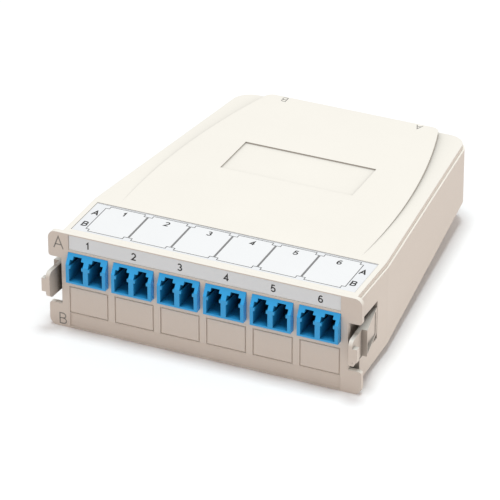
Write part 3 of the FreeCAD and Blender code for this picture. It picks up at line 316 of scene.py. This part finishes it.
def stroke(points, width, closed=False):
    """Four-sided strips that follow a line of points, mitred where it turns."""
    count = len(points)
    sides = []
    for index, (x, y) in enumerate(points):
        before = points[index - 1] if closed or index else None
        after = points[(index + 1) % count] if closed or index < count - 1 else None
        ways = []
        for start, end in ((before, (x, y)), ((x, y), after)):
            if start and end:
                ways.append(Vector((end[0] - start[0], end[1] - start[1])).normalized())
        way = sum(ways, Vector((0, 0))).normalized()
        across = Vector((-way.y, way.x))
        spread = width / 2 / max(0.3, across.dot(Vector((-ways[0].y, ways[0].x))))
        aside = across.x * spread
        along = across.y * spread
        sides.append(((x + aside, y + along), (x - aside, y - along)))
    strips = []
    for index in range(count if closed else count - 1):
        (a, b), (c, d) = sides[index], sides[(index + 1) % count]
        strips.append((a, b, d, c))
    return strips


def bow(x, y, across, tall, start, end, steps=10):
    """Points along part of an ellipse, from one angle to another in degrees."""
    turns = [math.radians(start + (end - start) * step / steps) for step in range(steps + 1)]
    return [(x + across * math.cos(turn), y + tall * math.sin(turn)) for turn in turns]


STROKES = {
    "1": ([(0.05, 0.76), (0.29, 1.0), (0.29, 0.0)],),
    "2": (bow(0.30, 0.70, 0.28, 0.30, 165, -35) + [(0.03, 0.0), (0.62, 0.0)],),
    "3": (bow(0.29, 0.75, 0.25, 0.25, 155, -90), bow(0.29, 0.25, 0.30, 0.25, 90, -155)),
    "4": ([(0.46, 0.0), (0.46, 1.0), (0.0, 0.30), (0.66, 0.30)],),
    "5": ([(0.56, 1.0), (0.14, 1.0), (0.07, 0.52)] + bow(0.29, 0.31, 0.30, 0.31, 130, -155),),
    "6": (bow(0.31, 0.29, 0.28, 0.29, 0, 360, 20), bow(0.36, 0.42, 0.33, 0.58, 55, 190)),
    "A": ([(0.0, 0.0), (0.38, 1.0), (0.76, 0.0)], [(0.14, 0.34), (0.62, 0.34)]),
    "B": ([(0.36, 0.52), (0.03, 0.52), (0.03, 1.0)] + bow(0.34, 0.76, 0.24, 0.24, 90, -90),
          [(0.03, 0.52), (0.03, 0.0)] + bow(0.36, 0.26, 0.27, 0.26, -90, 90)),
}


def lettering(name, marks, size, weight, height, material, turn):
    """Plain sans-serif marks drawn in strokes, each centred on its own place, as one raised mesh."""
    strips = []
    for text, x, y in marks:
        middle = 0.38 if text == "A" else 0.32
        for line in STROKES[text]:
            strips += stroke([(x + (px - middle) * size, y + (py - 0.5) * size) for px, py in line], weight)
    return flat_plate(name, strips, height, material, turn)


FILM = 0.02 * MM
THICK_FILM = 0.026 * MM
PAINTED_MARK_FILM = 0.012 * MM
LABEL_MARGIN = 0.9 * MM
CELL_GAP = 0.22 * MM
NOTCH_WIDTH = 1.35 * MM
NOTCH_DEPTH = 1.2 * MM
EDGE_INSET = 0.15 * MM
EDGE_GAP = 0.6 * MM
DIGIT_SIZE = 2.1 * MM
DIGIT_DROP = 2.6 * MM
ROW_PLACE = 43.4 * MM
ROW_HEIGHTS = (("A", 17.6 * MM), ("B", 10.45 * MM))

ADAPTERS = [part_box(f"lc_adapter_{number}") for number in range(1, 7)]
MIDDLES = [(low.x + high.x) / 2 for low, high in ADAPTERS]


def front_label():
    """Digits over the adapters on the front strip."""
    low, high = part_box("front_label")
    stand_up = Matrix.Translation((0, low.y, (low.z + high.z) / 2)) @ Matrix.Rotation(math.pi / 2, 4, "X")
    marks = [(str(number), middle, 0) for number, middle in enumerate(MIDDLES, start=1)]
    lettering("front_digits", marks, DIGIT_SIZE, 0.40 * MM, FILM, BLACK_INK, stand_up)


def top_label():
    """Cells, their outlines and dividers, digits and row letters on the top label."""
    low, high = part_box("top_label")
    level = Matrix.Translation((0, 0, high.z))
    count = len(MIDDLES)
    cell = 13.95 * MM
    left = -cell * count / 2
    front = low.y + LABEL_MARGIN
    back = high.y - LABEL_MARGIN
    plates = []
    lines = []
    dividers = []
    for index in range(count):
        first = index == 0
        last = index == count - 1
        start = left + index * cell
        end = start + cell
        a = start + (0 if first else CELL_GAP)
        b = end - (0 if last else CELL_GAP)
        inner_a = a + NOTCH_WIDTH - CELL_GAP
        inner_b = b - NOTCH_WIDTH + CELL_GAP
        near_step = front + NOTCH_DEPTH
        far_step = back - NOTCH_DEPTH
        corners = [(a, near_step), (inner_a, near_step), (inner_a, front), (inner_b, front),
                   (inner_b, near_step), (b, near_step), (b, far_step), (inner_b, far_step),
                   (inner_b, back), (inner_a, back), (inner_a, far_step), (a, far_step)]
        plates.append(corners)
        lines += stroke(corners, 0.23 * MM, closed=True)
        if not last:
            dividers += stroke([(end, near_step), (end, far_step)], 0.66 * MM)
    flat_plate("label_cells", plates, 0.012 * MM, PAPER_WHITE, level)
    flat_plate("label_lines", lines, FILM, LINE_INK, level)
    flat_plate("label_dividers", dividers, THICK_FILM, GREY_INK, level)
    edge = [(low.x + EDGE_INSET, back + EDGE_GAP), (high.x - EDGE_INSET, back + EDGE_GAP)]
    flat_plate("label_back_line", stroke(edge, 0.14 * MM), FILM, GREY_INK, level)
    marks = [(str(index + 1), left + (index + 0.5) * cell, back - DIGIT_DROP) for index in range(count)]
    lettering("label_digits", marks, DIGIT_SIZE, 0.42 * MM, THICK_FILM, BLACK_INK, level)
    rows = [(text, side * ROW_PLACE, y) for side in (-1, 1) for text, y in ROW_HEIGHTS]
    lettering("label_rows", rows, 2.4 * MM, 0.46 * MM, THICK_FILM, BLACK_INK, level)


def engraved():
    """Row marks in the panel's left ear and at the back of the cover, as thin flat dark strokes: painted
    shade standing in for the shadow in the strokes of an engraving.
    """
    low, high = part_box("base_shell")
    stand_up = Matrix.Rotation(math.pi / 2, 4, "X")
    for text, x, z, size in (("A", low.x + 3.4 * MM, high.z - 3.5 * MM, 4.0 * MM),
                             ("B", low.x + 4.3 * MM, 2.65 * MM, 3.5 * MM)):
        lettering(f"ear_mark_{text}", [(text, x, z)], size, 0.38 * MM, PAINTED_MARK_FILM, PAINTED_ENGRAVING_SHADE, stand_up)
    crown_height = 29.045 * MM
    crown_fall = math.atan2(1.5, 87.1)
    mark_line = 111 * MM
    lean = Matrix.Translation((0, mark_line, crown_height)) @ Matrix.Rotation(-crown_fall, 4, "X")
    turned = lean @ Matrix.Rotation(math.pi, 4, "Z")
    rear = [("B", 22.9 * MM, 0), ("A", -22.9 * MM, 0)]
    lettering("rear_marks", rear, 2.6 * MM, 0.3 * MM, PAINTED_MARK_FILM, PAINTED_ENGRAVING_SHADE, turned)


front_label()
top_label()
engraved()


def studio():
    """Pale floor, white surround, a large overhead lamp and a weaker one on the right."""
    build = bmesh.new()
    bmesh.ops.create_grid(build, x_segments=1, y_segments=1, size=4.0)
    mesh = bpy.data.meshes.new("floor")
    build.to_mesh(mesh)
    build.free()
    floor = bpy.data.objects.new("floor", mesh)
    bpy.context.scene.collection.objects.link(floor)
    floor.location.z = cad_box[0].z - 0.02 * MM
    pale = Finish("pale_floor", Roughness=0.9)
    seen = pale.node("LightPath", output="Is Camera Ray")
    pale.give(Base_Color=pale.blend(seen, FLOOR_LIT, FLOOR_SEEN))
    mesh.materials.append(pale.material)

    world = bpy.data.worlds.new("surround")
    bpy.context.scene.world = world
    world.use_nodes = True
    tree = world.node_tree
    back = tree.nodes["Background"]
    path = tree.nodes.new("ShaderNodeLightPath")
    mix = tree.nodes.new("ShaderNodeMix")
    mix.data_type = "RGBA"
    mix.inputs[6].default_value = (*SURROUND, 1)
    mix.inputs[7].default_value = (1, 1, 1, 1)
    tree.links.new(path.outputs["Is Camera Ray"], mix.inputs[0])
    tree.links.new(mix.outputs[2], back.inputs["Color"])

    def lamp(name, place, aim, size, power, colour):
        data = bpy.data.lights.new(name, "AREA")
        data.shape = "SQUARE"
        data.size = size
        data.energy = power
        data.color = colour
        made = bpy.data.objects.new(name, data)
        made.location = place
        made.rotation_mode = "QUATERNION"
        made.rotation_quaternion = (Vector(aim) - Vector(place)).to_track_quat("-Z", "Y")
        bpy.context.scene.collection.objects.link(made)

    lamp("overhead", (0.02, 0.07, 1.5), (0.02, 0.06, 0), 0.5, 14.2, (0.86, 0.96, 1.0))
    lamp("right", (1.35, 0.55, 0.55), (0, 0.05, 0.02), 0.8, 2.9, (0.92, 1.0, 1.0))


def camera():
    data = bpy.data.cameras.new("camera")
    data.sensor_width = 36
    data.lens = LENS
    made = bpy.data.objects.new("camera", data)
    place = Vector((407.94, -870.01, 580.62)) * MM
    aim = Vector((6.1, 20.1, 27.9)) * MM
    made.location = place
    made.rotation_mode = "QUATERNION"
    made.rotation_quaternion = (aim - place).to_track_quat("-Z", "Y")
    data.clip_start = 0.05
    data.clip_end = 20
    bpy.context.scene.collection.objects.link(made)
    bpy.context.scene.camera = made


studio()
camera()
bpy.context.scene.view_settings.view_transform = "Standard"
